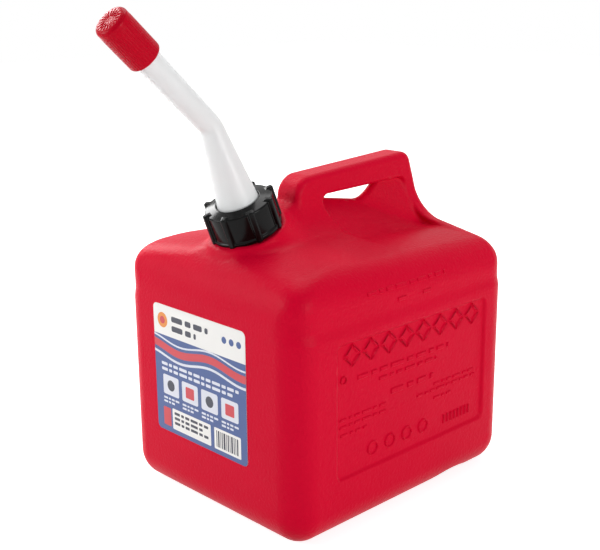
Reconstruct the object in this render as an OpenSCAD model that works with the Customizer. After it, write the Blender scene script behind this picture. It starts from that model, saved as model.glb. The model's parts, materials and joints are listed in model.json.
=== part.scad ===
/* [Can body] */
// Width of the can across its side walls
body_w = 196; // [180:1:215]
// Length of the can from its front wall to its rear wall
body_l = 238; // [225:1:260]
// Thickness of the moulded wall
wall = 2.6; // [1.8:0.1:3.2]
// Radius of the four upright corners
corner_r = 22; // [16:1:30]
// Radius of the edge round the base
base_edge_r = 24; // [14:1:28]
// Height at which the side wall and the side roof would meet
side_eave_z = 177; // [165:1:185]
// Slope of the side roofs
roof_pitch = 20; // [14:1:24]
// Radius of the shoulder between a side wall and its roof
side_shoulder_r = 45; // [30:1:55]
// Height at which the front wall and the neck slope would meet
front_eave_z = 194; // [188:1:200]
// Radius of the shoulder between the front wall and the neck slope
front_shoulder_r = 36; // [20:1:45]
// Height at which the rear wall and the leaning back of the handle would meet
rear_eave_z = 178; // [165:1:190]
// Radius of the shoulder above the rear wall
rear_shoulder_r = 40; // [20:1:60]
// Width of the finger groove across the base
groove_w = 52; // [40:1:64]
// Depth of the finger groove
groove_depth = 7.2; // [5:0.2:10]
// Distance of the groove behind the middle of the can
groove_y = 64; // [52:1:70]

/* [Side panels] */
// Length of the sunk panel in each side wall
panel_l = 170; // [120:1:175]
// Height of the sunk panel
panel_h = 101; // [70:1:104]
// Depth of the sunk panel
panel_depth = 1.2; // [0.6:0.1:2]
// Corner radius of the sunk panel
panel_r = 6; // [3:1:14]
// Height of the panel's middle above the base
panel_z = 97.5; // [90:0.5:100]
// Distance of the panel's middle behind the middle of the can
panel_y = 4.3; // [-6:0.1:8]

/* [Handle] */
// Thickness of the handle from side to side
handle_t = 25; // [20:1:32]
// Radius of the flare from the handle's flanks into the side roofs
flare_r = 33; // [20:1:40]
// Height of the handle's top at its front end above the front eave
handle_front_z = 53.3; // [48:0.1:58]
// Height of the handle's top at its rear end above the front eave
handle_rear_z = 60; // [54:0.5:66]
// Distance of the handle's front top corner in front of the middle of the can
handle_front_y = 34; // [30:0.5:36]
// Distance of the handle's rear top corner behind the middle of the can
handle_rear_y = 90; // [88:0.5:96]
// Backward lean of the handle's front post
post_lean = 3; // [2:0.5:6]
// Radius of the handle's front top corner
handle_front_r = 17; // [10:0.5:17.5]
// Radius of the handle's rear top corner
handle_rear_r = 10; // [6:1:14]
// Radius along the handle's edges, on its top and round its front
handle_edge_r = 5; // [2:0.5:8]
// Height of the grip between the handle's top and the hand hole, at its front end
grip_h = 14.6; // [12:0.2:18]
// Rise of the grip's underside towards the rear
under_pitch = 1.2; // [0:0.1:3]
// Distance of the hand hole's front top corner in front of the middle of the can
hole_front_y = 8.6; // [4:0.2:10]
// Distance of the hand hole's rear top corner behind the middle of the can
hole_rear_y = 86; // [80:0.5:87]
// Radius of the hand hole's top corners
hole_top_r = 6; // [4:0.5:9]
// Distance of the hand hole's front foot behind the middle of the can
hole_front_foot_y = 5.4; // [0:0.2:12]
// Height of the hand hole's front foot
hole_front_foot_z = 190; // [187:0.5:194]
// Radius of the hand hole's front foot
hole_front_foot_r = 20; // [12:0.5:21]
// Distance of the hand hole's rear foot behind the middle of the can
hole_rear_foot_y = 97; // [90:0.5:98]
// Height of the hand hole's rear foot
hole_rear_foot_z = 199; // [196:0.5:202]
// Radius of the hand hole's rear foot
hole_rear_foot_r = 16; // [10:0.5:18]
// Height of the ridge that crosses the hand hole, at the middle of the can
ridge_z = 227; // [222:0.5:228]
// Fall of the ridge's crest towards the rear
ridge_fall = 9.6; // [6:0.2:12]
// Slope of the sides of the ridge and of the ramp behind it
ridge_pitch = 52; // [46:1:56]
// Radius of the crest of the ridge and of the ramp
ridge_r = 8; // [4:0.5:10]
// Distance behind the middle of the can where the ramp is as high as the ridge's front
ramp_y = 54.4; // [50:0.2:60]
// Rise of the ramp's crest towards the rear
ramp_pitch = 40; // [34:1:46]
// Depth of the hollows below the side roofs
hollow_depth = 3; // [1:0.1:4]
// Radius of the corner at the foot of the front post
post_foot_r = 4; // [3:0.5:5]

/* [Neck] */
// Forward tilt of the neck and of the slope that it stands on
neck_tilt = 22; // [16:1:24]
// Distance of the neck in front of the middle of the can
neck_y = 73.2; // [71:0.2:76]
// Outer radius of the neck under its thread
neck_r = 21.5; // [20:0.1:22]
// Height of the neck's rim above the slope
neck_h = 18; // [16:0.5:20]
// Depth of the thread that the neck and the collar share
neck_thread = 1.7; // [1:0.1:1.8]
// Height of the collar's lower edge above the slope
collar_lift = 2; // [1.5:0.1:3]
// Height of the boss round the foot of the neck
boss_h = 1.2; // [0.8:0.1:1.4]
// Depth of the boss's foot below the slope
boss_depth = 17; // [12:1:20]
// Distance that the boss's foot spreads
boss_spread = 7.5; // [4:0.5:9]

/* [Flame arrestor] */
// Thickness of the arrestor's flange on the neck rim
arrestor_flange_t = 1.2; // [0.8:0.1:1.6]
// Depth of the basket below the neck rim
basket_depth = 72; // [50:1:90]
// Clearance between the basket and the neck's bore
basket_gap = 1; // [0.6:0.1:1.6]
// Thickness of the basket's bars
basket_bar_t = 1.6; // [1.2:0.1:2.2]
// Width of the basket's bars
basket_bar_w = 3; // [2:0.2:4]
// Number of upright bars round the basket
basket_bars = 8; // [6:1:12]
// Thickness of the wire screen
screen_t = 0.5; // [0.4:0.1:0.8]

/* [Collar] */
// Thickness of the collar's skirt outside its thread
collar_wall = 2.2; // [1.8:0.1:3]
// Thickness of the collar's lip over the spout flange
collar_lip_t = 3; // [2:0.1:4]
// Radius of the round opening in the collar's top
collar_hole_r = 18; // [17:0.1:19]
// Number of grip lugs round the collar
lug_count = 8; // [6:1:12]
// Distance that a lug stands out from the skirt
lug_proud = 2.4; // [1.5:0.1:3]
// Width of a lug
lug_w = 4.6; // [3:0.1:6]
// Distance that a lug reaches in over the collar's top
lug_in = 3.4; // [2:0.1:4]
// Height that the collar's top rises from its edge to its opening
collar_cone = 1.8; // [0.8:0.1:2]
// Height of the bevel round the collar's top
collar_bevel = 1; // [0.5:0.1:1.5]
// Height of the rim round the collar's foot
collar_rim_h = 3; // [2:0.1:4]
// Distance that the rim stands out from the skirt
collar_rim = 0.9; // [0.5:0.1:1.4]
// Thickness of the gasket under the spout flange
gasket_t = 1.8; // [1.2:0.1:2.4]

/* [Spout] */
// Thickness of the spout's flange
flange_t = 2.6; // [2:0.1:3.4]
// Outer radius of the spout where it leaves the flange
spout_foot_r = 15.8; // [14:0.1:16.2]
// Thickness of the spout's wall
spout_wall = 1.8; // [1.2:0.1:2.2]
// Outer radius of the spout at its bend
bend_tube_r = 8.3; // [7.5:0.1:8.8]
// Length along the neck's axis from the slope to the corner of the bend
bend_s = 86.8; // [76:0.2:100]
// Angle of the bend
bend_angle = 24.7; // [15:0.1:40]
// Length from the corner of the bend to the cap's lower edge
cap_s = 73.4; // [60:0.2:90]
// Outer radius of the spout just below the cap
spout_end_r = 9.1; // [8.4:0.1:9.3]
// Outer radius of the spout's tip under its thread
tip_r = 8; // [7.5:0.1:8.2]
// Depth of the thread that the tip and the cap share
tip_thread = 1.1; // [0.8:0.1:1.3]

/* [Cap] */
// Height of the cap
cap_h = 36.3; // [30:0.1:42]
// Thickness of the outer cap's skirt and top
cap_wall = 1.3; // [1:0.1:1.5]
// Radius of the cap's top edge
cap_edge_r = 4.5; // [3:0.1:5]
// Height of the lip inside the cap's lower edge
cap_lip_h = 1; // [0.6:0.1:1.5]
// Number of fine ribs round the cap's skirt
cap_ribs = 60; // [36:2:72]
// Depth of a rib
rib_depth = 0.4; // [0.2:0.1:0.5]
// Length of the ribbed band above the cap's lower edge
rib_band = 24; // [12:1:27]
// Thickness of the inner cap's skirt and top
inner_wall = 1.2; // [1:0.1:1.5]
// Thickness of the sealing liner
liner_t = 1.2; // [0.8:0.1:2]
// Distance that the outer cap is pushed down to take hold of the inner cap
push_travel = 1.5; // [1:0.1:2]
// Number of drive lugs between the two caps
drive_lugs = 6; // [4:1:8]
// Width of a drive lug
drive_w = 2; // [1.2:0.1:2.4]
// Radius at which the drive lugs start
drive_in_r = 4.5; // [4:0.1:6]

/* [Label] */
// Width of the front label
label_w = 105.8; // [80:0.1:130]
// Height of the front label
label_h = 102.4; // [80:0.1:106]
// Corner radius of the label
label_r = 4; // [2:0.5:8]
// Thickness of the label
label_t = 0.25; // [0.15:0.05:0.4]
// Distance of the label's middle left of the can's middle, seen from the front
label_x = 6.1; // [0:0.1:8]
// Height of the label's middle above the base
label_z = 104.7; // [95:0.1:110]

/* [Fits] */
// Clearance between round faces that turn or slide on each other
run_gap = 0.35; // [0.3:0.05:0.45]
// Clearance between flat faces that slide on each other
face_gap = 0.1; // [0.05:0.05:0.2]

/* [Hidden] */
$fn = 72;
over = 1; // overlap of cutters past the faces that they cut
front_y = -body_l / 2;
side_x = body_w / 2;
flank_x = handle_t / 2;
grip_front_z = front_eave_z + handle_front_z;
grip_rear_z = front_eave_z + handle_rear_z;
neck_z = front_eave_z + (body_l / 2 - neck_y) * tan(neck_tilt);
post_foot_run = (handle_front_z - (body_l / 2 - handle_front_y) * tan(neck_tilt))
    / (cos(post_lean) / sin(post_lean) + tan(neck_tilt));

// The neck's stack, as heights along the neck's axis above the slope
neck_bore_r = neck_r - wall;
gasket_s = neck_h + arrestor_flange_t;
flange_s = gasket_s + gasket_t + face_gap;
lip_s = flange_s + flange_t + face_gap;
collar_top_s = lip_s + collar_lip_t;
collar_edge_s = collar_top_s - collar_cone;
collar_bore_r = neck_r + neck_thread + run_gap;
collar_r = collar_bore_r + collar_wall;
lug_r = collar_r + lug_proud;
flange_r = collar_bore_r - run_gap;
boss_r = lug_r + over;

// The flame arrestor's basket
basket_r = neck_bore_r - basket_gap;
basket_foot_s = neck_h - basket_depth;
screen_r = basket_r - basket_bar_t;

knuckle = 0.15; // the ball at the spout's bend stands this far out of the tubes

// The cap's shells, from the tip's thread outward
inner_bore_r = tip_r + tip_thread + run_gap;
inner_r = inner_bore_r + inner_wall;
cap_bore_r = inner_r + run_gap;
cap_skirt_r = cap_bore_r + cap_wall;
cap_r = cap_skirt_r + rib_depth;
lip_r = spout_end_r + run_gap;

// The cap's stack, as heights along the tip's axis above the cap's lower edge
drive_h = push_travel - face_gap;
drive_out_r = cap_skirt_r - cap_edge_r;
inner_foot_z = cap_lip_h + face_gap;
inner_top_z = cap_h - cap_wall - push_travel - face_gap - drive_h;
liner_z = inner_top_z - inner_wall - face_gap - liner_t;
tip_z = liner_z - face_gap;

// Corners of an outline are [across, up, radius], listed anticlockwise
function point(c) = [c[0], c[1]];
function unit(v) = v / norm(v);
function before(c, k) = unit(point(c[k]) - point(c[(k + len(c) - 1) % len(c)]));
function after(c, k) = unit(point(c[(k + 1) % len(c)]) - point(c[k]));
function convex(c, k) = cross(before(c, k), after(c, k)) > 0;
function turn(c, k) = acos(before(c, k) * after(c, k));
function setback(c, k) = c[k][2] * tan(turn(c, k) / 2);
function arc_middle(c, k) = point(c[k]) + unit(after(c, k) - before(c, k)) * c[k][2] / cos(turn(c, k) / 2);
function chords(c) = [for (k = [0 : len(c) - 1], end = [0 : 1])
    point(c[k]) + (end == 0 ? -before(c, k) : after(c, k)) * setback(c, k)];
function left(v) = [-v[1], v[0]];

// The same outline moved inward by d, with its radii to suit
function inset(c, d) = [for (k = [0 : len(c) - 1])
    let (a = left(before(c, k)), b = left(after(c, k)), p = point(c[k]) + (a + b) * d / (1 + a * b))
    [p[0], p[1], c[k][2] == 0 ? 0 : max(c[k][2] + (convex(c, k) ? -d : d), 0.2)]];

// An outline whose corners are true arcs
module rounded(c) {
    difference() {
        union() {
            polygon(chords(c));
            for (k = [0 : len(c) - 1])
                if (c[k][2] > 0 && convex(c, k)) translate(arc_middle(c, k)) circle(c[k][2]);
        }
        for (k = [0 : len(c) - 1])
            if (c[k][2] > 0 && !convex(c, k)) translate(arc_middle(c, k)) circle(c[k][2]);
    }
}

function block(x, y, r) = [[-x, -y, r], [x, -y, r], [x, y, r], [-x, y, r]];

// Seen from above, a hair outside the walls, which the two other outlines set
plan_ease = 0.05;
plan_outline = block(side_x + plan_ease, body_l / 2 + plan_ease, corner_r);

// Seen from the front: side walls, roofs, and the flanks of the handle
flank_foot_z = side_eave_z + (side_x - flank_x) * tan(roof_pitch);
flank_top_z = grip_rear_z + 4 * wall;
front_outline = [[-side_x, 0, base_edge_r], [side_x, 0, base_edge_r],
    [side_x, side_eave_z, side_shoulder_r], [flank_x, flank_foot_z, flare_r],
    [flank_x, flank_top_z, 2 * wall], [-flank_x, flank_top_z, 2 * wall],
    [-flank_x, flank_foot_z, flare_r], [-side_x, side_eave_z, side_shoulder_r]];

// Seen from the side: rear wall, handle, neck slope and front wall
post_foot_y = -handle_front_y - post_foot_run;
post_foot_z = front_eave_z + (post_foot_y - front_y) * tan(neck_tilt);
nose = 4; // place of the handle's front top corner in the outline
side_outline = [[front_y, 0, base_edge_r], [-front_y, 0, base_edge_r],
    [-front_y, rear_eave_z, rear_shoulder_r], [handle_rear_y, grip_rear_z, handle_rear_r],
    [-handle_front_y, grip_front_z, handle_front_r],
    [post_foot_y, post_foot_z, post_foot_r], [front_y, front_eave_z, front_shoulder_r]];

// The hand hole, seen from the side
grip_pitch = atan((handle_rear_z - handle_front_z) / (handle_rear_y + handle_front_y));
function grip_under_z(y) = grip_front_z - grip_h + (y + handle_front_y) * tan(under_pitch);
hole_outline = [[hole_front_foot_y, hole_front_foot_z, hole_front_foot_r],
    [hole_rear_foot_y, hole_rear_foot_z, hole_rear_foot_r],
    [hole_rear_y, grip_under_z(hole_rear_y), hole_top_r],
    [-hole_front_y, grip_under_z(-hole_front_y), hole_top_r]];

// The ridge in the hand hole and the hollows beside it, seen from the front
ridge_top = ridge_r / cos(ridge_pitch) - ridge_r;
ridge_outline = [[-side_x, ridge_top - side_x * tan(ridge_pitch), 0],
    [side_x, ridge_top - side_x * tan(ridge_pitch), 0], [0, ridge_top, ridge_r]];
hollow_eave_z = side_eave_z - hollow_depth;
hollow_outline = [[-side_x, 0, 0], [side_x, 0, 0], [side_x, hollow_eave_z, 0],
    [0, hollow_eave_z + side_x * tan(roof_pitch), 0], [-side_x, hollow_eave_z, 0]];

panel_outline = block(panel_l / 2, panel_h / 2, panel_r);
groove_r = (pow(groove_w / 2, 2) + pow(groove_depth, 2)) / (2 * groove_depth);

ball_ease = 1; // the base's corner balls stand this far outside the faces that they meet
edge_ease = 0.15; // and so do the rounds of the handle's edges
crest_ease = 0.05; // and the round crests in the hand hole
nose_sweep = 100; // angle of the rounded edge round the handle's front

// Frames that the pieces are made in
module along_x() rotate([90, 0, 90]) children();
module along_y() rotate([90, 0, 0]) children();
module on_neck(s = 0) translate([0, -neck_y, neck_z]) rotate([neck_tilt, 0, 0])
    translate([0, 0, s]) children();
module on_tip(s = 0) on_neck(bend_s) rotate([bend_angle, 0, 0]) translate([0, 0, s]) children();
module on_cap(s = 0) on_tip(cap_s + s) children();
module round_about(count) for (k = [0 : count - 1]) rotate(360 * k / count) children();

// A ring about the axis, from radius a to radius b and from height z0 to z1
module ring(a, b, z0, z1) rotate_extrude() translate([a, z0]) square([b - a, z1 - z0]);

// The moulded form, moved inward by d from the outer skin
module can_form(d) {
    reach = body_w + body_l;
    difference() {
        intersection() {
            linear_extrude(reach) rounded(inset(plan_outline, d));
            along_x() linear_extrude(reach, center = true) rounded(inset(side_outline, d));
            along_y() linear_extrude(reach, center = true) rounded(inset(front_outline, d));
        }
        hand_hole(d);
        along_x() linear_extrude(reach, center = true)
            translate([groove_y, groove_depth - groove_r]) circle(groove_r + d);
        for (m = [0, 1]) mirror([m, 0, 0])
            translate([side_x - panel_depth - d, panel_y, panel_z])
                along_x() linear_extrude(reach) rounded(inset(panel_outline, -d));
        for (m = [0, 1], n = [0, 1]) mirror([m, 0, 0]) mirror([0, n, 0]) base_corner(d);
    }
}

// The hand hole through the handle, down to its ridge, the ramp behind it and the hollows beside them
module hand_hole(d) difference() {
    along_x() linear_extrude(2 * body_w, center = true) rounded(inset(hole_outline, -d));
    ridge(d, 0, -ridge_fall);
    ridge(d, ramp_y, ramp_pitch);
    along_y() linear_extrude(2 * body_l, center = true) rounded(inset(hollow_outline, d));
}

// A ridge along the can, tilted about the place y on its crest
module ridge(d, y, tilt) {
    form = inset(ridge_outline, d);
    top = len(form) - 1;
    translate([0, y, ridge_z]) rotate([tilt, 0, 0]) along_y() linear_extrude(2 * body_l, center = true) {
        polygon(chords(form));
        translate(arc_middle(form, top)) circle(form[top][2] + crest_ease);
    }
}

// What a ball-shaped corner leaves off where three rounded edges of the base meet
module base_corner(d) {
    translate([side_x - base_edge_r, body_l / 2 - base_edge_r, base_edge_r]) difference() {
        translate([0, 0, -2 * base_edge_r]) cube(2 * base_edge_r);
        sphere(base_edge_r + ball_ease - d);
    }
}

// What the handle's rounded edges leave off, along its top and round its front
module handle_edges() {
    middle = arc_middle(side_outline, nose);
    run = handle_rear_y - middle[0];
    for (m = [0, 1]) mirror([m, 0, 0])
        translate([0, middle[0], middle[1]]) rotate([grip_pitch, 0, 0]) {
            translate([flank_x - handle_edge_r, run, handle_front_r - handle_edge_r])
                along_y() linear_extrude(run) edge_rest();
            along_x() rotate(90) rotate_extrude(angle = nose_sweep)
                translate([handle_front_r - handle_edge_r, flank_x - handle_edge_r]) edge_rest();
        }
}

// What a rounded edge leaves off, across the edge
module edge_rest() difference() {
    square(handle_edge_r + over);
    translate([edge_ease, edge_ease]) circle(handle_edge_r);
}

module neck_boss() translate([0, 0, -boss_depth])
    cylinder(r1 = boss_r + boss_spread, r2 = boss_r, h = boss_depth + boss_h);

module can_shell() color("#c8102e") difference() {
    union() {
        difference() {
            can_form(0);
            handle_edges();
        }
        on_neck() {
            neck_boss();
            cylinder(r = neck_r, h = neck_h);
        }
    }
    can_form(wall);
    on_neck(basket_foot_s - basket_gap) cylinder(r = neck_bore_r, h = basket_depth + basket_gap + over);
}

module front_label() color("#e8e7e3")
    translate([-label_x, front_y, label_z]) along_y() linear_extrude(label_t)
        rounded(block(label_w / 2, label_h / 2, label_r));

module arrestor_frame() color("#1d1d1f") on_neck() {
    ring(screen_r, neck_r, neck_h, gasket_s);
    ring(screen_r, basket_r, neck_h - basket_bar_w, neck_h);
    ring(screen_r, basket_r, basket_foot_s, basket_foot_s + basket_bar_w);
    round_about(basket_bars)
        translate([screen_r, -basket_bar_w / 2, basket_foot_s])
            cube([basket_bar_t, basket_bar_w, basket_depth]);
}

module arrestor_screen() color("#b9bcbe") on_neck()
    ring(screen_r - screen_t, screen_r, basket_foot_s + screen_t, gasket_s);

module arrestor_end_screen() color("#b9bcbe") on_neck(basket_foot_s) cylinder(r = screen_r, h = screen_t);

module neck_gasket() color("#2b2b2b") on_neck()
    ring(screen_r, flange_r, gasket_s, gasket_s + gasket_t);

// The spout's form, moved inward by d from its outer skin, open at both ends by e
module spout_form(d, e) {
    on_neck() rotate_extrude() polygon([[0, flange_s - e], [spout_foot_r - d, flange_s - e],
        [spout_foot_r - d, flange_s + flange_t], [bend_tube_r - d, bend_s], [0, bend_s]]);
    on_tip() {
        sphere(bend_tube_r + knuckle - d);
        rotate_extrude() polygon([[0, 0], [bend_tube_r - d, 0], [spout_end_r - d, cap_s],
            [tip_r - d, cap_s], [tip_r - d, cap_s + tip_z + e], [0, cap_s + tip_z + e]]);
    }
}

module spout() color("#e4e7e5") difference() {
    union() {
        spout_form(0, 0);
        on_neck(flange_s) cylinder(r = flange_r, h = flange_t);
    }
    spout_form(spout_wall, over);
}

module collar() color("#141416") on_neck() difference() {
    union() {
        rotate_extrude() polygon([[0, collar_lift], [collar_r + collar_rim, collar_lift],
            [collar_r + collar_rim, collar_lift + collar_rim_h], [collar_r, collar_lift + collar_rim_h],
            [collar_r, collar_edge_s - collar_bevel], [collar_r - collar_bevel, collar_edge_s],
            [collar_hole_r, collar_top_s], [0, collar_top_s]]);
        translate([0, 0, collar_lift]) linear_extrude(collar_top_s - collar_lift) round_about(lug_count) {
            translate([collar_r - lug_in, -lug_w / 2]) square([lug_in + lug_proud - lug_w / 2, lug_w]);
            translate([lug_r - lug_w / 2, 0]) circle(d = lug_w);
        }
    }
    translate([0, 0, collar_lift - over]) cylinder(r = collar_bore_r, h = lip_s - collar_lift + over);
    cylinder(r = collar_hole_r, h = collar_top_s + over);
}

// A round solid about the axis with a rounded top edge
module domed(r, z0, z1, edge_r) rotate_extrude()
    rounded([[0, z0, 0], [r, z0, 0], [r, z1, edge_r], [0, z1, 0]]);

// The ring of drive lugs between the two caps, from height z0 to z1
module drive_ring(z0, z1) round_about(drive_lugs)
    translate([drive_in_r, -drive_w / 2, z0]) cube([drive_out_r - drive_in_r, drive_w, z1 - z0]);

module cap_inner() color("#8f0f1f") on_cap() {
    difference() {
        domed(inner_r, inner_foot_z, inner_top_z, cap_edge_r - cap_wall - run_gap);
        cylinder(r = inner_bore_r, h = inner_top_z - inner_wall);
    }
    drive_ring(inner_top_z - inner_wall / 2, inner_top_z + drive_h);
}

module cap_liner() color("#f0efe8") on_cap(liner_z) cylinder(r = inner_bore_r - run_gap, h = liner_t);

function rib_outline() = [for (k = [0 : cap_ribs - 1], q = [0 : 3])
    let (r = q == 1 || q == 2 ? cap_r : cap_skirt_r - rib_depth, a = 360 * (k + (q + 0.5) / 4) / cap_ribs)
    [r * cos(a), r * sin(a)]];

module cap_outer() color("#c4102a") on_cap() {
    difference() {
        union() {
            domed(cap_skirt_r, 0, cap_h, cap_edge_r);
            translate([0, 0, cap_lip_h]) linear_extrude(rib_band) polygon(rib_outline());
        }
        domed(cap_bore_r, cap_lip_h, cap_h - cap_wall, cap_edge_r - cap_wall);
        translate([0, 0, -over]) cylinder(r = lip_r, h = cap_lip_h + 2 * over);
    }
    rotate(180 / drive_lugs) drive_ring(cap_h - cap_wall - drive_h, cap_h - cap_wall / 2);
}

can_shell();
front_label();
arrestor_frame();
arrestor_screen();
arrestor_end_screen();
neck_gasket();
spout();
collar();
cap_inner();
cap_liner();
cap_outer();
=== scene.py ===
"""A blow-moulded safety gas can: red body and handle in one, black collar, bent spout, ribbed red cap."""

import json
import math

import bmesh
import bpy
import numpy as np
from mathutils import Matrix, Vector


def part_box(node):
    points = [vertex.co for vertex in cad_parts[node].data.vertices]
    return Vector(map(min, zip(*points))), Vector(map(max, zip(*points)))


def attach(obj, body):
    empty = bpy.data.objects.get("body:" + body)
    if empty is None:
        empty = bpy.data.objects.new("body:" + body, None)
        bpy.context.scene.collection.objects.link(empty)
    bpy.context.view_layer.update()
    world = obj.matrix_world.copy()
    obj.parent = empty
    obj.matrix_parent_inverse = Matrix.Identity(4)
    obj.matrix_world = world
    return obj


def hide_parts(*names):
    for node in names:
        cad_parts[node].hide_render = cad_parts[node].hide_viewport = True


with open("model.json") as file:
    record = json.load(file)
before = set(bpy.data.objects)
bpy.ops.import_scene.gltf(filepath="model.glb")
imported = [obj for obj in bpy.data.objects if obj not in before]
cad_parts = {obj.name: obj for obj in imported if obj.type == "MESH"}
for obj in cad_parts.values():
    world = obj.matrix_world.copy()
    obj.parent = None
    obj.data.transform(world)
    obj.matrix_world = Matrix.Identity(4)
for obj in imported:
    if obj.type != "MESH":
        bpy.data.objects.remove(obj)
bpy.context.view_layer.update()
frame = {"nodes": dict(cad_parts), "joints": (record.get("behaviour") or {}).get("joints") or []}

# All sizes are in millimetres, and become metres where a mesh is made
MM = 0.001

# The can's body; its width and length come from the frame
can_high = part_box("can_shell")[1]
HALF_W = can_high.x / MM
HALF_L = can_high.y / MM
CORNER_R = 22
BASE_EDGE_R = 24
SIDE_EAVE_Z = 192
ROOF_PITCH = 10.5
ROOF_FALL = 2.5
SIDE_SHOULDER_R = 26
FRONT_EAVE_Z = 196
FRONT_SHOULDER_R = 46
REAR_EAVE_Z = 178
REAR_SHOULDER_R = 40
HIP_R = 18
GROOVE_W = 52
GROOVE_DEPTH = 7.2
GROOVE_Y = 58.5
GROOVE_EDGE_R = 3

# Between these heights the upright edges ease from the corners' radius to the handle's
EDGE_EASE_FOOT = 165
EDGE_EASE_TOP = 205

# The sunk panel in each side wall, and the ledge above it where the wall steps in
PANEL_L = 170
PANEL_H = 104.2
PANEL_DEPTH = 2
PANEL_R = 6
PANEL_Y = 4.3
PANEL_Z = 96.7
PANEL_DRAFT = 3
LEDGE_FOOT = 152
LEDGE_TOP = 162
LEDGE_DEPTH = 1.6

# The handle and its hand hole
FLANK_X = 12.5
FLARE_R = 28
GRIP_FRONT_Y = -34
GRIP_FRONT_Z = 247.3
GRIP_REAR_Y = 93
GRIP_REAR_Z = 254
GRIP_H = 16.6
UNDER_PITCH = 1.2
GRIP_FRONT_R = 17
GRIP_REAR_R = 10
HANDLE_EDGE_R = 5
POST_LEAN = 3
POST_FOOT_R = 4
HOLE_FRONT_TOP_Y = -8.6
HOLE_REAR_TOP_Y = 86
HOLE_TOP_R = 6
HOLE_FRONT_FOOT = (4.6, 190)
HOLE_FRONT_FOOT_R = 24
HOLE_REAR_FOOT = (97.8, 190)
HOLE_REAR_FOOT_R = 5
HOLE_EDGE_R = 3
RIDGE_Z = 227
RIDGE_FALL = 9.6
RIDGE_PITCH = 44
RIDGE_R = 6
RAMP_Y = 57
RAMP_PITCH = 40
RAMP_SIDE_PITCH = 70
RAMP_R = 5
RAMP_BLEND = 10
HOLLOW_LIP_X = 54
HOLLOW_PITCH = 6
HOLLOW_BLEND = 16

# The neck and the boss at its foot, with heights along the neck's axis above the slope
NECK_R = 21.5
NECK_H = 18
NECK_BORE_R = 18.9
NECK_POCKET = 57
NECK_TILT = 22
BOSS_R = 29.15
BOSS_H = 1.2
BOSS_SPREAD = 7.5
BOSS_DEPTH = 18.2
BOSS_EDGE_R = 2
BOSS_BLEND_R = 6
NECK_FOOT_R = 1
NECK_EDGE_R = 0.8
NECK_MOUTH_R = 0.6

# The collar about the neck's axis: heights above the slope, with its lugs and the rim round its foot
COLLAR_FOOT = 2
COLLAR_TOP = 26.8
COLLAR_R = 25.75
COLLAR_BORE_R = 23.55
COLLAR_HOLE_R = 16.5
COLLAR_LIP_FOOT = 23.8
COLLAR_CONE_H = 2
RIM_PROUD = 0.9
RIM_H = 3
LUG_COUNT = 8
LUG_R = 28.15
LUG_W = 4.6
LUG_INNER_R = 22.4
LUG_TOP = 26.4
COLLAR_EDGE_R = 1
COLLAR_BLEND_R = 0.8
COLLAR_FOOT_R = 0.5
COLLAR_MOUTH_R = 0.4
RIM_EDGE_R = 0.6
LUG_EDGE_R = 1.4
LUG_TOP_R = 1.2

# The spout: radii and lengths along its middle line, which bends forward in an arc
FLANGE_R = 23.2
FLANGE_FOOT = 21.1
FLANGE_TOP = 23.7
SPOUT_FOOT_R = 15.8
SPOUT_WALL = 1.8
BEND_S = 86.8
BEND_ANGLE = math.radians(24.7)
BEND_R = 20
BEND_TUBE_R = 8.3
SPOUT_END_R = 9.1
CAP_S = 73.4
TIP_R = 8
TIP_L = 29.4
FLANGE_EDGE_R = 0.5
SPOUT_FOOT_FILLET_R = 1.2
BEND_EASE_R = 90
SPOUT_END_EDGE_R = 0.4
TIP_EDGE_R = 0.5
BORE_STEP = 2
BORE_EASE_R = 2

# The cap about the tip's axis, from its lower edge; ribs and rays grow and fade between two places
CAP_H = 36.3
CAP_SKIRT_R = 12.3
CAP_EDGE_R = 3
CAP_FOOT_EDGE_R = 0.9
CAP_WALL = 1.3
CAP_LIP_R = 9.45
CAP_LIP_H = 1
CAP_LIP_EDGE_R = 0.3
CAP_RIBS = 40
CAP_RIB_DEPTH = 0.16
CAP_RIB_START = (0.4, 1.4)
CAP_RIB_END = (29.5, 31)
CAP_RAYS = 18
CAP_RAY_H = 0.3
CAP_RAY_START = (2.6, 4.4)
CAP_RAY_END = (7.6, 9)

# The screw threads under the collar and under the cap; half widths are shares of the pitch
NECK_THREAD_R = 23.2
NECK_THREAD_PITCH = 4
NECK_THREAD_FOOT = 4
NECK_THREAD_TURNS = 3
TIP_THREAD_R = 9.1
TIP_THREAD_PITCH = 3
TIP_THREAD_FOOT = 6
TIP_THREAD_TURNS = 6
THREAD_STEPS = 48
THREAD_HALF_FOOT = 0.36
THREAD_HALF_CREST = 0.14
THREAD_SUNK = 0.3
THREAD_RUN_OUT = 0.3

# The raised marks on the sides: how far each kind stands out, and how wide its flanks are
LOZENGE_RELIEF = (1.2, 1.2)
ROW_RELIEF = (1, 0.8)
SMALL_ROW_RELIEF = (0.8, 0.6)
MARK_SUNK = 0.3
MARK_STEP = 3

# The front label: its middle, its size and its print
LABEL_X = -6.1
LABEL_Z = 104.7
LABEL_W = 105.8
LABEL_H = 102.4
LABEL_R = 4
LABEL_T = 0.25
INK_T = 0.05
LABEL_BAND_H = 24
TILE_COUNT = 4
TILE_LEFT = -44
TILE_PITCH = 23
TILE_W = 19
TILE_FOOT = -20.5
TILE_HEAD = -4.5
WAVE_SWING = 2.5
WAVE_LENGTH = 72
WAVE_PHASE = 0.4

# How the can's walls face: the turn of each wall's outward normal, from level towards up, in degrees
SIDE_TURN = 0
ROOF_TURN = 90 - ROOF_PITCH
FRONT_TURN = 180
SLOPE_TURN = 90 + NECK_TILT
POST_TURN = 180 - POST_LEAN
TOP_TURN = 90 + math.degrees(math.atan2(GRIP_REAR_Z - GRIP_FRONT_Z, GRIP_REAR_Y - GRIP_FRONT_Y))
LEAN_TURN = math.degrees(math.atan2(HALF_L - GRIP_REAR_Y, GRIP_REAR_Z - REAR_EAVE_Z))

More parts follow.
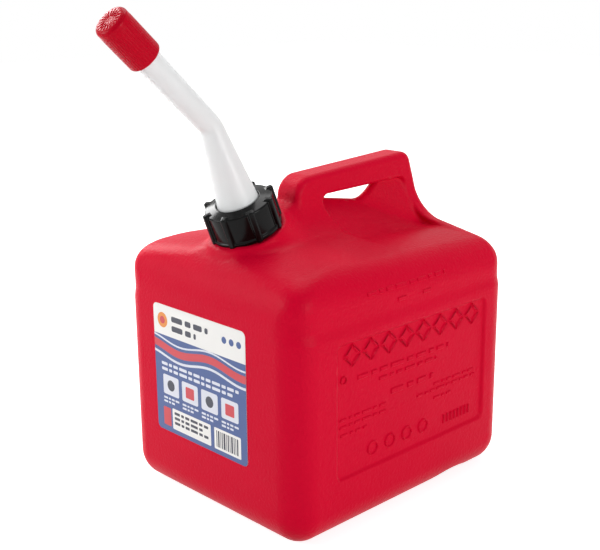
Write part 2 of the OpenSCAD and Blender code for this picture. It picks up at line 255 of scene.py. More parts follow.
# How fine the skins are sampled, and the share of faces that thinning keeps
CAN_STEP = 1.25
CAN_KEPT = 0.5
COLLAR_STEP = 0.5
COLLAR_KEPT = 0.4
SPOUT_STEP = 2
SPOUT_SEGMENTS = 72
CAP_STEP = 1
CAP_ARC_POINTS = 8
CAP_RIB_STEPS = 9

joints = {joint["name"]: joint for joint in frame["joints"]}


def axis_place(joint_name):
    """Where a joint's axis stands: Z along the axis, X across the can, in metres."""
    up = Vector(joints[joint_name]["axis"]).normalized()
    across = Vector((1, 0, 0))
    place = Matrix((across, up.cross(across), up)).transposed().to_4x4()
    place.translation = Vector(joints[joint_name]["pos_m"])
    return place


NECK_PLACE = axis_place("collar_turn")
TIP_PLACE = axis_place("cap_turn") @ Matrix.Translation((0, 0, CAP_S * MM))


# Solid forms as distances: below zero inside, above zero outside


def plane(u, v, at, turn):
    """Distance from a line through a point, whose outward normal is turned from +u towards +v."""
    angle = math.radians(turn)
    return (u - at[0]) * math.cos(angle) + (v - at[1]) * math.sin(angle)


def cosine(turn):
    """Cosine of an angle in degrees."""
    return math.cos(math.radians(turn))


def rounded_and(a, b, radius, c=0.0):
    """What lies in both forms, its edge rounded; c is the cosine between their normals."""
    u = a + radius
    v = b + radius
    sine = np.sqrt(np.maximum(1 - np.square(c), 1e-4))
    round_part = np.sqrt(np.maximum(u * u + v * v - 2 * c * u * v, 0)) / sine
    at_edge = (u > c * v) & (v > c * u)
    return np.where(at_edge, round_part, np.maximum(u, v)) - radius


def rounded_or(a, b, radius, c=0.0):
    """What lies in either form, their inner corner filled to a radius."""
    return -rounded_and(-a, -b, radius, c)


def ramp(low, high, t):
    """0 below low and 1 above high, smooth between."""
    share = np.clip((t - low) / (high - low), 0, 1)
    return share * share * (3 - 2 * share)


def soft_max(a, b, width):
    """The higher of two heights, with the corner between them eased over a width."""
    share = np.maximum(width - np.abs(a - b), 0) / width
    return np.maximum(a, b) + share * share * width / 4


def across_profile(x, y, z):
    """Side walls, roofs that fall to the rear, and handle flanks."""
    side = plane(x, z, (HALF_W, 0), SIDE_TURN) + LEDGE_DEPTH * ramp(LEDGE_FOOT, LEDGE_TOP, z)
    roof = plane(x, z + y * math.tan(math.radians(ROOF_FALL)), (HALF_W, SIDE_EAVE_Z), ROOF_TURN)
    flank = plane(x, z, (FLANK_X, 0), SIDE_TURN)
    shoulder = rounded_and(side, roof, SIDE_SHOULDER_R, cosine(ROOF_TURN - SIDE_TURN))
    return rounded_or(shoulder, flank, FLARE_R, cosine(ROOF_TURN - SIDE_TURN))


def along_profile(y, z):
    """Front wall, neck slope, handle and rear wall, seen from the side."""
    front = plane(y, z, (-HALF_L, 0), FRONT_TURN)
    slope = plane(y, z, (-HALF_L, FRONT_EAVE_Z), SLOPE_TURN)
    post = plane(y, z, (GRIP_FRONT_Y, GRIP_FRONT_Z), POST_TURN)
    top = plane(y, z, (GRIP_FRONT_Y, GRIP_FRONT_Z), TOP_TURN)
    lean = plane(y, z, (HALF_L, REAR_EAVE_Z), LEAN_TURN)
    rear = plane(y, z, (HALF_L, 0), SIDE_TURN)
    fore = rounded_and(front, slope, FRONT_SHOULDER_R, cosine(FRONT_TURN - SLOPE_TURN))
    fore = rounded_or(fore, post, POST_FOOT_R, cosine(POST_TURN - SLOPE_TURN))
    fore = rounded_and(fore, top, GRIP_FRONT_R, cosine(POST_TURN - TOP_TURN))
    back = rounded_and(lean, rear, REAR_SHOULDER_R, cosine(LEAN_TURN - SIDE_TURN))
    return rounded_and(fore, back, GRIP_REAR_R, cosine(TOP_TURN - LEAN_TURN))


def upward(profile, z):
    """How much a profile's surface faces upward at a height."""
    return (profile(z + 0.5) - profile(z - 0.5)).clip(-1, 1)


def grip_under(y):
    """Height of the grip's underside."""
    return GRIP_FRONT_Z - GRIP_H + (y - GRIP_FRONT_Y) * math.tan(math.radians(UNDER_PITCH))


def ridge_height(x, y, at, tilt, pitch, radius):
    """Height of a round-topped ridge along the can, its crest tilted about a place on it."""
    slope = math.radians(pitch)
    crest = radius - np.sqrt(np.maximum(radius**2 - x * x, 0))
    side = x * math.tan(slope) - radius * (1 / math.cos(slope) - 1)
    fall = np.where(x < radius * math.sin(slope), crest, side)
    return RIDGE_Z + (y - at) * math.tan(math.radians(tilt)) - fall / cosine(tilt)


def hand_hole(x, y, z):
    """The hand hole: leaning ends, and a floor that falls from a ridge into a bowl on each side."""
    front_top = (HOLE_FRONT_TOP_Y, grip_under(HOLE_FRONT_TOP_Y))
    rear_top = (HOLE_REAR_TOP_Y, grip_under(HOLE_REAR_TOP_Y))
    corners = [HOLE_FRONT_FOOT, HOLE_REAR_FOOT, rear_top, front_top]
    radii = [HOLE_FRONT_FOOT_R, HOLE_REAR_FOOT_R, HOLE_TOP_R, HOLE_TOP_R]
    turns = []
    for here, there in zip(corners, corners[1:] + corners[:1]):
        turns.append(math.degrees(math.atan2(there[1] - here[1], there[0] - here[0])) - 90)
    walls = [plane(y, z, corner, turn) for corner, turn in zip(corners, turns)]
    outline = walls[0]
    for k in (1, 2):
        outline = rounded_and(outline, walls[k], radii[k], cosine(turns[k] - turns[k - 1]))
    ends = rounded_and(walls[3], walls[0], radii[0], cosine(turns[0] - turns[3]))
    ends = rounded_and(ends, walls[2], radii[3], cosine(turns[3] - turns[2]))
    outline = np.maximum(outline, ends)
    ridge = ridge_height(x, y, 0, -RIDGE_FALL, RIDGE_PITCH, RIDGE_R)
    rise = ridge_height(x, y, RAMP_Y, RAMP_PITCH, RAMP_SIDE_PITCH, RAMP_R)
    ridge = soft_max(ridge, rise, RAMP_BLEND)
    hollow = SIDE_EAVE_Z + (HALF_W - HOLLOW_LIP_X) * math.tan(math.radians(ROOF_PITCH))
    hollow = hollow - (HOLLOW_LIP_X - x) * math.tan(math.radians(HOLLOW_PITCH))
    hollow = hollow - y * math.tan(math.radians(ROOF_FALL))
    floor = soft_max(ridge, hollow, HOLLOW_BLEND)
    return rounded_and(outline, (floor - z) * cosine(RIDGE_PITCH), HOLE_EDGE_R)


def neck_coordinates(x, y, z):
    """Radius about the neck's axis, and height along it above the slope."""
    origin = NECK_PLACE.translation / MM
    up = NECK_PLACE.col[2]
    back = NECK_PLACE.col[1]
    height = (y - origin.y) * up.y + (z - origin.z) * up.z
    sideways = (y - origin.y) * back.y + (z - origin.z) * back.z
    return np.sqrt(x * x + sideways * sideways), height


def can_distance(x, y, z):
    """The whole blow-moulded skin, with its neck and the pocket that the flame arrestor hangs in."""
    x = np.abs(x)
    across = across_profile(x, y, z)
    along = along_profile(y, z)
    rise_across = upward(lambda height: across_profile(x, y, height), z)
    rise_along = upward(lambda height: along_profile(y, height), z)
    edge_r = CORNER_R + (HANDLE_EDGE_R - CORNER_R) * ramp(EDGE_EASE_FOOT, EDGE_EASE_TOP, z)
    hip_share = (rise_across * rise_along / (cosine(ROOF_PITCH) * cosine(NECK_TILT))).clip(0, 1)
    body = rounded_and(across, along, edge_r + (HIP_R - edge_r) * hip_share)
    body = rounded_and(body, -z, BASE_EDGE_R)
    body = rounded_and(body, -hand_hole(x, y, z), HOLE_EDGE_R)

    groove_r = (GROOVE_W**2 / 4 + GROOVE_DEPTH**2) / (2 * GROOVE_DEPTH)
    groove = np.sqrt((y - GROOVE_Y) ** 2 + (z - GROOVE_DEPTH + groove_r) ** 2) - groove_r
    body = rounded_and(body, -groove, GROOVE_EDGE_R)

    panel = rounded_and(np.abs(y - PANEL_Y) - PANEL_L / 2, np.abs(z - PANEL_Z) - PANEL_H / 2, PANEL_R)
    panel_floor = HALF_W - PANEL_DEPTH * ramp(0, PANEL_DRAFT, -panel)
    body = np.maximum(body, x - panel_floor)

    radius, height = neck_coordinates(x, y, z)
    boss_turn = math.degrees(math.atan2(BOSS_SPREAD, BOSS_DEPTH))
    boss_side = plane(radius, height, (BOSS_R, BOSS_H), boss_turn)
    boss = rounded_and(boss_side, height - BOSS_H, BOSS_EDGE_R, cosine(90 - boss_turn))
    boss = np.maximum(boss, -height - BOSS_DEPTH)
    body = rounded_or(body, boss, BOSS_BLEND_R)
    neck = rounded_and(radius - NECK_R, height - NECK_H, NECK_EDGE_R)
    neck = np.maximum(neck, -height - BOSS_DEPTH)
    body = rounded_or(body, neck, NECK_FOOT_R)
    pocket = np.maximum(radius - NECK_BORE_R, -height - NECK_POCKET)
    return rounded_and(body, -pocket, NECK_MOUTH_R)


# Meshes


def surface_net(distance, low, high, step):
    """Points and quads of the surface where a distance is zero, within a box."""
    axes = [np.arange(a, b + step, step) for a, b in zip(low, high)]
    shape = [len(axis) for axis in axes]
    field = distance(axes[0][:, None, None], axes[1][None, :, None], axes[2][None, None, :])
    inside = field < 0
    cells, crossings, quads = [], [], []
    for axis in range(3):
        near = [slice(None)] * 3
        far = [slice(None)] * 3
        near[axis] = slice(None, -1)
        far[axis] = slice(1, None)
        edge = np.argwhere(inside[tuple(near)] != inside[tuple(far)])
        ahead = edge + np.eye(3, dtype=int)[axis]
        value = field[tuple(edge.T)]
        share = value / (value - field[tuple(ahead.T)])
        crossing = edge + share[:, None] * np.eye(3)[axis]
        side_a = np.eye(3, dtype=int)[(axis + 1) % 3]
        side_b = np.eye(3, dtype=int)[(axis + 2) % 3]
        around = [edge - side_a - side_b, edge - side_b, edge, edge - side_a]
        ids = np.stack([np.ravel_multi_index(cell.T, shape) for cell in around], axis=1)
        leaving = inside[tuple(edge.T)]
        cells.append(ids.ravel())
        crossings.append(np.repeat(crossing, 4, axis=0))
        quads.append(np.where(leaving[:, None], ids, ids[:, ::-1]))
    used, index = np.unique(np.concatenate(cells), return_inverse=True)
    crossings = np.concatenate(crossings)
    count = np.bincount(index)
    points = np.stack([np.bincount(index, crossings[:, k]) / count for k in range(3)], axis=1)
    quads = np.searchsorted(used, np.concatenate(quads))
    return points * step + np.array(low), quads


def slopes(distance, points):
    """The distance's gradient at points."""
    reach = 0.05
    parts = []
    for k in range(3):
        offset = np.eye(3)[k] * reach
        parts.append((distance(*(points + offset).T) - distance(*(points - offset).T)) / (2 * reach))
    return np.stack(parts, axis=1)


def settled(distance, points, reach, rounds=4):
    """Points moved onto the surface, each by no more than reach a round."""
    for _ in range(rounds):
        gradient = slopes(distance, points)
        size = np.maximum((gradient**2).sum(1), 0.05)
        move = -(distance(*points.T) / size)[:, None] * gradient
        length = np.linalg.norm(move, axis=1, keepdims=True)
        points = points + move * np.minimum(1, reach / np.maximum(length, 1e-9))
    return points


def mesh_piece(name, points, faces, place=None, smooth=True):
    """An object of points in millimetres, set where place says."""
    mesh = bpy.data.meshes.new(name)
    mesh.from_pydata((np.asarray(points) * MM).tolist(), [], [list(map(int, face)) for face in faces])
    if place is not None:
        mesh.transform(place)
    mesh.validate()
    mesh.polygons.foreach_set("use_smooth", [smooth] * len(mesh.polygons))
    piece = bpy.data.objects.new(name, mesh)
    bpy.context.scene.collection.objects.link(piece)
    return piece


def skin_piece(name, distance, low, high, step, keep, place=None):
    """A smooth skin of a solid form, thinned to a share of its faces, shaded by the form's own slope."""
    points, quads = surface_net(distance, low, high, step)
    points = settled(distance, points, step / 2)
    piece = mesh_piece(name, points, quads)
    thinning = piece.modifiers.new("thinning", "DECIMATE")
    thinning.ratio = keep
    thin = bpy.data.meshes.new_from_object(piece.evaluated_get(bpy.context.evaluated_depsgraph_get()))
    piece.modifiers.clear()
    piece.data = thin
    flat = np.zeros(len(thin.vertices) * 3, np.float32)
    thin.vertices.foreach_get("co", flat)
    points = settled(distance, flat.reshape(-1, 3).astype(float) / MM, step / 4, 2)
    normals = slopes(distance, points)
    normals /= np.maximum(np.linalg.norm(normals, axis=1, keepdims=True), 1e-9)
    thin.vertices.foreach_set("co", (points * MM).astype(np.float32).ravel())
    if place is not None:
        thin.transform(place)
        turn = np.array(place.to_3x3())
        normals = normals @ turn.T
    thin.polygons.foreach_set("use_smooth", [True] * len(thin.polygons))
    thin.normals_split_custom_set_from_vertices(normals.tolist())
    thin.update()
    return piece


def area_shading(mesh):
    """Point normals weighted by area, so that wide faces stay flat beside their rounded edges."""
    normal = np.zeros(len(mesh.polygons) * 3)
    area = np.zeros(len(mesh.polygons))
    sides = np.zeros(len(mesh.polygons), int)
    corner = np.zeros(len(mesh.loops), int)
    mesh.polygons.foreach_get("normal", normal)
    mesh.polygons.foreach_get("area", area)
    mesh.polygons.foreach_get("loop_total", sides)
    mesh.loops.foreach_get("vertex_index", corner)
    share = np.repeat(normal.reshape(-1, 3) * area[:, None], sides, axis=0)
    total = np.stack([np.bincount(corner, share[:, k], len(mesh.vertices)) for k in range(3)], axis=1)
    total /= np.maximum(np.linalg.norm(total, axis=1, keepdims=True), 1e-12)
    mesh.normals_split_custom_set_from_vertices(total.tolist())


def eased(corners, arc_points=6):
    """A closed outline of corners (across, up, radius), taken anticlockwise, with arcs for its corners."""
    outline = []
    for k, (across, up, radius) in enumerate(corners):
        here = np.array([across, up], float)
        back = np.array(corners[k - 1][:2]) - here
        ahead = np.array(corners[(k + 1) % len(corners)][:2]) - here
        back /= np.linalg.norm(back)
        ahead /= np.linalg.norm(ahead)
        if radius == 0:
            outline.append(here)
            continue
        half = math.acos(np.clip(back @ ahead, -1, 1)) / 2
        middle = here + (back + ahead) / np.linalg.norm(back + ahead) * radius / math.sin(half)
        start = here + back * radius / math.tan(half) - middle
        end = here + ahead * radius / math.tan(half) - middle
        for t in np.linspace(0, 1, arc_points):
            arm = start * (1 - t) + end * t
            outline.append(middle + arm / np.linalg.norm(arm) * radius)
    return np.array(outline)


def divided(outline, longest):
    """The same closed outline, with more points on its long stretches."""
    points = []
    for here, there in zip(outline, np.roll(outline, -1, axis=0)):
        count = max(1, math.ceil(np.linalg.norm(there - here) / longest))
        points += [here + (there - here) * k / count for k in range(count)]
    return np.array(points)


def turned(outline, segments):
    """Points by row and turn, and quads, of a closed outline of (radius, height) turned about Z."""
    turn = np.arange(segments) * 2 * math.pi / segments
    radius = outline[:, :1]
    height = outline[:, 1:] + 0 * turn
    points = np.stack([radius * np.cos(turn), radius * np.sin(turn), height], axis=2)
    row = np.arange(len(outline))[:, None]
    step = np.arange(segments)[None, :]
    above = (row + 1) % len(outline) * segments
    beside = (step + 1) % segments
    corners = [row * segments + step, row * segments + beside, above + beside, above + step]
    return points, np.stack(corners, axis=2).reshape(-1, 4)


def welded(piece):
    """The same piece with its coinciding points made one, shaded by area."""
    form = bmesh.new()
    form.from_mesh(piece.data)
    bmesh.ops.remove_doubles(form, verts=form.verts, dist=1e-7)
    form.to_mesh(piece.data)
    form.free()
    area_shading(piece.data)
    return piece


def inset(outline, distance):
    """A closed outline moved inward by a distance."""
    along = np.roll(outline, -1, axis=0) - np.roll(outline, 1, axis=0)
    along /= np.linalg.norm(along, axis=1, keepdims=True)
    return outline + distance * np.stack([-along[:, 1], along[:, 0]], axis=1)


def plates(outlines, low, high, edge, run):
    """Points and faces of flat plates, one for each outline; their top edges fall by edge over a run."""
    points, faces = [], []
    for outline in outlines:
        count = len(outline)
        start = len(points)
        for ring, height in ((outline, low), (outline, high - edge), (inset(outline, run), high)):
            points += [(u, v, height) for u, v in ring]
        for level in (start, start + count):
            for k in range(count):
                beside = (k + 1) % count
                faces.append((level + k, level + beside, level + count + beside, level + count + k))
        faces.append(range(start + 2 * count, start + 3 * count))
        faces.append(range(start + count - 1, start - 1, -1))
    return points, faces


def thread_piece(name, place, root_r, crest_r, pitch, foot, turns):
    """A screw thread: a ridge that winds up a round neck and runs out at both ends."""
    steps = THREAD_STEPS * turns + 1
    turn = np.arange(steps) / THREAD_STEPS
    around = turn * 2 * math.pi
    grown = ramp(0, THREAD_RUN_OUT, turn) * ramp(0, THREAD_RUN_OUT, turns - turn)
    half_foot = THREAD_HALF_FOOT * pitch
    half_crest = THREAD_HALF_CREST * pitch
    profile = [(root_r, -half_foot), (crest_r, -half_crest), (crest_r, half_crest), (root_r, half_foot)]
    rows = []
    for radius, off in profile:
        out = root_r - THREAD_SUNK + (radius - root_r + THREAD_SUNK) * grown
        height = foot + pitch * turn + off
        rows.append(np.stack([out * np.cos(around), out * np.sin(around), height], axis=1))
    points = np.stack(rows, axis=1).reshape(-1, 3)
    sides = len(profile)
    faces = []
    for start in range(0, sides * (steps - 1), sides):
        for side in range(sides):
            beside = (side + 1) % sides
            faces.append((start + beside, start + side, start + sides + side, start + sides + beside))
    faces.append(range(sides))
    faces.append(range(sides * steps - 1, sides * (steps - 1) - 1, -1))
    return mesh_piece(name, points, faces, place, smooth=False)


def dress(piece, body, finish):
    """Gives a piece its finish and the body that carries it."""
    piece.data.materials.append(finish)
    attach(piece, body)
    return piece


# Finishes


def linear(hex_colour):
    """An sRGB hex colour as linear RGBA."""
    parts = [int(hex_colour[k : k + 2], 16) / 255 for k in (1, 3, 5)]
    return [p / 12.92 if p <= 0.04045 else ((p + 0.055) / 1.055) ** 2.4 for p in parts] + [1]


def add(tree, kind, settings=(), **inputs):
    """Adds a shader node with its settings, and sets or links its inputs, named or as in0, in1."""
    made = tree.nodes.new("ShaderNode" + kind)
    for key, value in dict(settings).items():
        setattr(made, key, value)
    for key, value in inputs.items():
        socket = made.inputs[int(key[2:])] if key[2:].isdigit() else made.inputs[key.replace("_", " ")]
        if isinstance(value, bpy.types.NodeSocket):
            tree.links.new(value, socket)
        else:
            socket.default_value = value
    return made


def finish_of(name):
    """A new material, its node tree and its shader."""
    finish = bpy.data.materials.new(name)
    finish.use_nodes = True
    return finish, finish.node_tree, finish.node_tree.nodes["Principled BSDF"]


def moulded_red_polyethylene():
    """Blow-moulded polyethylene: an even satin red with a fine pebble that glints along the edges."""
    finish, tree, shader = finish_of("moulded_red_polyethylene")
    place = add(tree, "TexCoord").outputs["Object"]
    cloud = add(tree, "TexNoise", Vector=place, Scale=1 / (60 * MM), Detail=2)
    tint = add(tree, "Mix", {"data_type": "RGBA"}, Factor=cloud.outputs["Fac"])
    tint.inputs[6].default_value = linear("#CA0129")
    tint.inputs[7].default_value = linear("#D2032E")
    tree.links.new(tint.outputs[2], shader.inputs["Base Color"])
    # A moulded pebble is about 1 mm across; it is drawn coarser, so that it shows at the camera's distance
    grain = add(tree, "TexNoise", Vector=place, Scale=1 / (2.2 * MM), Detail=2, Roughness=0.6)
    gloss = add(tree, "MapRange", Value=grain.outputs["Fac"], To_Min=0.32, To_Max=0.48)
    tree.links.new(gloss.outputs["Result"], shader.inputs["Roughness"])
    bump = add(tree, "Bump", Height=grain.outputs["Fac"], Strength=1, Distance=0.45 * MM)
    tree.links.new(bump.outputs["Normal"], shader.inputs["Normal"])
    shader.inputs["IOR"].default_value = 1.52
    shader.inputs["Specular IOR Level"].default_value = 0.05
    return finish


def moulded_red_polypropylene():
    """Injection-moulded polypropylene: the cap's clear red, smoother and glossier than the can."""
    finish, tree, shader = finish_of("moulded_red_polypropylene")
    place = add(tree, "TexCoord").outputs["Object"]
    grain = add(tree, "TexNoise", Vector=place, Scale=1 / (2.5 * MM), Detail=2)
    gloss = add(tree, "MapRange", Value=grain.outputs["Fac"], To_Min=0.22, To_Max=0.34)
    tree.links.new(gloss.outputs["Result"], shader.inputs["Roughness"])
    bump = add(tree, "Bump", Height=grain.outputs["Fac"], Strength=0.1, Distance=0.05 * MM)
    tree.links.new(bump.outputs["Normal"], shader.inputs["Normal"])
    shader.inputs["Base Color"].default_value = linear("#BA011F")
    shader.inputs["IOR"].default_value = 1.49
    shader.inputs["Specular IOR Level"].default_value = 0.06
    return finish


def natural_polyethylene():
    """Unpigmented polyethylene: milky white, light soaks into it, with a soft waxy gloss."""
    finish, tree, shader = finish_of("natural_polyethylene")
    place = add(tree, "TexCoord").outputs["Object"]
    flow = add(tree, "TexNoise", Vector=place, Scale=1 / (18 * MM), Detail=2)
    gloss = add(tree, "MapRange", Value=flow.outputs["Fac"], To_Min=0.3, To_Max=0.42)
    tree.links.new(gloss.outputs["Result"], shader.inputs["Roughness"])
    shader.inputs["Base Color"].default_value = linear("#E9EBEB")
    shader.inputs["Subsurface Weight"].default_value = 0.5
    shader.inputs["Subsurface Radius"].default_value = (1, 1, 1)
    shader.inputs["Subsurface Scale"].default_value = 4 * MM
    shader.inputs["IOR"].default_value = 1.51
    return finish


def moulded_black_polypropylene():
    """Injection-moulded polypropylene: deep black with small sharp highlights and faint flow marks."""
    finish, tree, shader = finish_of("moulded_black_polypropylene")
    place = add(tree, "TexCoord").outputs["Object"]
    flow = add(tree, "TexNoise", Vector=place, Scale=1 / (9 * MM), Detail=3)
    gloss = add(tree, "MapRange", Value=flow.outputs["Fac"], To_Min=0.1, To_Max=0.22)
    tree.links.new(gloss.outputs["Result"], shader.inputs["Roughness"])
    bump = add(tree, "Bump", Height=flow.outputs["Fac"], Strength=0.2, Distance=0.3 * MM)
    tree.links.new(bump.outputs["Normal"], shader.inputs["Normal"])
    shader.inputs["Base Color"].default_value = linear("#060606")
    shader.inputs["IOR"].default_value = 1.49
    shader.inputs["Specular IOR Level"].default_value = 0.12
    return finish


def woven_steel_wire():
    """Fine steel mesh: a grey metal that glitters in small squares."""
    finish, tree, shader = finish_of("woven_steel_wire")
    place = add(tree, "TexCoord").outputs["Object"]
    # A flame screen's weave is finer than 1 mm; it is drawn coarser, so that it doesn't blur to grey
    weave = add(tree, "TexChecker", Vector=place, Scale=1 / (1.2 * MM))
    gloss = add(tree, "MapRange", Value=weave.outputs["Fac"], To_Min=0.28, To_Max=0.5)
    tree.links.new(gloss.outputs["Result"], shader.inputs["Roughness"])
    shader.inputs["Base Color"].default_value = linear("#A09C95")
    shader.inputs["Metallic"].default_value = 1
    return finish


def nitrile_rubber():
    """Gasket rubber: a matt charcoal that takes no highlight."""
    finish, tree, shader = finish_of("nitrile_rubber")
    place = add(tree, "TexCoord").outputs["Object"]
    dust = add(tree, "TexNoise", Vector=place, Scale=1 / (4 * MM), Detail=2)
    gloss = add(tree, "MapRange", Value=dust.outputs["Fac"], To_Min=0.55, To_Max=0.75)
    tree.links.new(gloss.outputs["Result"], shader.inputs["Roughness"])
    shader.inputs["Base Color"].default_value = linear("#1B1B1C")
    return finish


def closed_cell_foam():
    """Cap liner foam: an off-white matt sheet with fine cells."""
    finish, tree, shader = finish_of("closed_cell_foam")
    place = add(tree, "TexCoord").outputs["Object"]
    # Such cells are a few tenths of a millimetre wide; they are drawn coarser, so that they don't blur
    cells = add(tree, "TexVoronoi", Vector=place, Scale=1 / (0.8 * MM))
    bump = add(tree, "Bump", Height=cells.outputs["Distance"], Strength=0.3, Distance=0.1 * MM)
    tree.links.new(bump.outputs["Normal"], shader.inputs["Normal"])
    shader.inputs["Base Color"].default_value = linear("#E3E0D6")
    shader.inputs["Roughness"].default_value = 0.8
    return finish


def printed_film(name, hex_colour):
    """Printed label film: a flat ink under a thin clear coat, a little uneven."""
    finish, tree, shader = finish_of(name)
    place = add(tree, "TexCoord").outputs["Object"]
    ripple = add(tree, "TexNoise", Vector=place, Scale=1 / (12 * MM), Detail=2)
    gloss = add(tree, "MapRange", Value=ripple.outputs["Fac"], To_Min=0.3, To_Max=0.42)
    tree.links.new(gloss.outputs["Result"], shader.inputs["Roughness"])
    bump = add(tree, "Bump", Height=ripple.outputs["Fac"], Strength=0.1, Distance=0.2 * MM)
    tree.links.new(bump.outputs["Normal"], shader.inputs["Normal"])
    shader.inputs["Base Color"].default_value = linear(hex_colour)
    return finish


RED_BODY = moulded_red_polyethylene()
RED_CAP = moulded_red_polypropylene()
MILKY = natural_polyethylene()
BLACK = moulded_black_polypropylene()
WIRE = woven_steel_wire()
RUBBER = nitrile_rubber()
FOAM = closed_cell_foam()
FILM_WHITE = printed_film("printed_film_white", "#ECEBE8")
FILM_BLUE = printed_film("printed_film_blue", "#34508B")
FILM_RED = printed_film("printed_film_red", "#C8303C")
FILM_PALE = printed_film("printed_film_pale", "#D9DCE6")
FILM_DARK = printed_film("printed_film_dark", "#23273A")
FILM_ORANGE = printed_film("printed_film_orange", "#E08A2C")


# The can's skin


def can_skin():
    """The can's outer surface, in place of its shell."""
    margin = 3 * CAN_STEP
    low = [-HALF_W - margin, -HALF_L - margin, -margin]
    high = [HALF_W + margin, HALF_L + margin, can_high.z / MM + margin]
    piece = skin_piece("can_skin", can_distance, low, high, CAN_STEP, CAN_KEPT)
    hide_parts("can_shell")
    return dress(piece, "can", RED_BODY)


can_skin()


# Flat motifs for the raised marks and for the label's print


def rectangle(low_u, low_v, high_u, high_v, radius):
    """Outline of a rectangle with rounded corners."""
    corners = [(low_u, low_v), (high_u, low_v), (high_u, high_v), (low_u, high_v)]
    return eased([(u, v, radius) for u, v in corners])


def disc(u, v, radius):
    """Outline of a circle."""
    turn = np.linspace(0, 2 * math.pi, 48, endpoint=False)
    return np.stack([u + radius * np.cos(turn), v + radius * np.sin(turn)], axis=1)


def ring(u, v, radius, width):
    """Outlines of the two halves of a ring."""
    halves = []
    for start in (0, math.pi):
        turn = np.linspace(start, start + math.pi, 21)
        around = np.stack([np.cos(turn), np.sin(turn)], axis=1)
        halves.append(np.concatenate([radius * around, (radius - width) * around[::-1]]) + (u, v))
    return halves


def dashes(low_u, high_u, v, height, lengths=(5, 2.6, 3.8, 6.4, 3.2)):
    """A row of dashes of unlike length, sized by their height."""
    outlines = []
    u = low_u
    k = 0
    while u < high_u:
        end = min(u + lengths[k % len(lengths)] * height * 0.6, high_u)
        if end - u > height * 0.6:
            outlines.append(rectangle(u, v - height / 2, end, v + height / 2, height * 0.3))
        u = end + height * 0.7
        k += 1
    return outlines


# Raised marks on both sides: lozenges, rows of dashes, rings and bars


def side_reach(y, z):
    """How far out the can's side stands at each height and place along it."""
    depth = 40
    margin = 2
    halvings = 24
    low = np.full(y.shape, HALF_W - depth)
    high = np.full(y.shape, HALF_W + margin)
    for _ in range(halvings):
        middle = (low + high) / 2
        within = can_distance(middle, y, z) < 0
        low = np.where(within, middle, low)
        high = np.where(within, high, middle)
    return low


def lozenges(low_u, high_u, middle_v, height, count, width):
    """A row of open lozenges, each of four leaning bars that don't touch."""
    bars = []
    gap = 0.6
    half = (high_u - low_u) / count / 2
    reach = half - gap
    inner = reach - width
    rise = height / 2 - gap
    inner_rise = rise * (inner - gap) / reach
    outer_rise = rise * (1 - gap / reach)
    corners = [(reach, 0), (inner, 0), (gap, inner_rise), (gap, outer_rise)]
    for k in range(count):
        middle_u = low_u + half * (2 * k + 1)
        for up in (1, -1):
            for lean in (1, -1):
                bar = [(middle_u + lean * u, middle_v + up * (gap + v)) for u, v in corners]
                bars.append(np.array(bar[:: -lean * up]))
    return bars


def raised_marks(name, outlines, side, height, run):
    """Marks that stand a little proud of one side of the can and follow its skin."""
    fine = [divided(outline, MARK_STEP) for outline in outlines]
    points, faces = plates(fine, -MARK_SUNK, height, height, run)
    points = np.array(points)
    y = PANEL_Y + side * (points[:, 0] - PANEL_Y)
    reach = side_reach(y, points[:, 1]) + points[:, 2]
    placed = np.stack([side * reach, y, points[:, 1]], axis=1)
    piece = mesh_piece(name, placed, faces, smooth=False)
    return dress(piece, "can", RED_BODY)


def side_marks(name, side):
    """The marks of one side, by place along the can and height; the left side has them turned round."""
    large = lozenges(-73, 82, 137.5, 19, 8, 4.6)
    raised_marks(name + "_lozenges", large, side, *LOZENGE_RELIEF)
    rows = dashes(-58, 45, 119, 4) + dashes(-35, 31, 112, 3.2) + dashes(-22, 28, 98.5, 5)
    rows += [half for k in range(4) for half in ring(-41 + 19 * k, 60, 6, 2)]
    rows += ring(-72, 121, 3.4, 1.3)
    rows += [rectangle(40 + 4.4 * k, 54, 42.4 + 4.4 * k, 62, 0.6) for k in range(8)]
    raised_marks(name + "_rows", rows, side, *ROW_RELIEF)
    small = dashes(28, 77, 90.5, 2.6) + dashes(8, 79, 86, 2.6) + dashes(28, 50, 79, 2.6)
    small += dashes(-76, -27, 91, 2.6) + dashes(-76, -27, 85.5, 2.6) + dashes(-75, -47, 79, 2.6)
    small += dashes(-48, 40, 178, 3.4) + dashes(-16, -6, 168, 3.4) + dashes(12, 22, 168, 3.4)
    raised_marks(name + "_small_rows", small, side, *SMALL_ROW_RELIEF)


side_marks("right_marks", 1)
side_marks("left_marks", -1)


# The label, a printed film: a white band over a blue field, with waves, tiles and rows of dashes


def wave(v, height):
    """Outline of a wavy stripe across the label's field."""
    u = np.linspace(-LABEL_W / 2, LABEL_W / 2, 49)
    middle = v + WAVE_SWING * np.sin(2 * math.pi * u / WAVE_LENGTH + WAVE_PHASE)
    below = np.stack([u, middle - height / 2], axis=1)
    above = np.stack([u, middle + height / 2], axis=1)
    return np.concatenate([below, above[::-1]])


def label_layer(name, outlines, level, finish):
    """One ink of the label, as thin plates on the film."""
    place = Matrix(((1, 0, 0), (0, 0, -1), (0, 1, 0))).to_4x4()
    place.translation = Vector((LABEL_X, -HALF_L, LABEL_Z)) * MM
    low = 0 if level == 0 else LABEL_T + (level - 1) * INK_T
    high = LABEL_T + level * INK_T
    points, faces = plates(outlines, low, high, INK_T / 2, INK_T / 2)
    piece = mesh_piece(name, points, faces, place, smooth=False)
    return dress(piece, "can", finish)


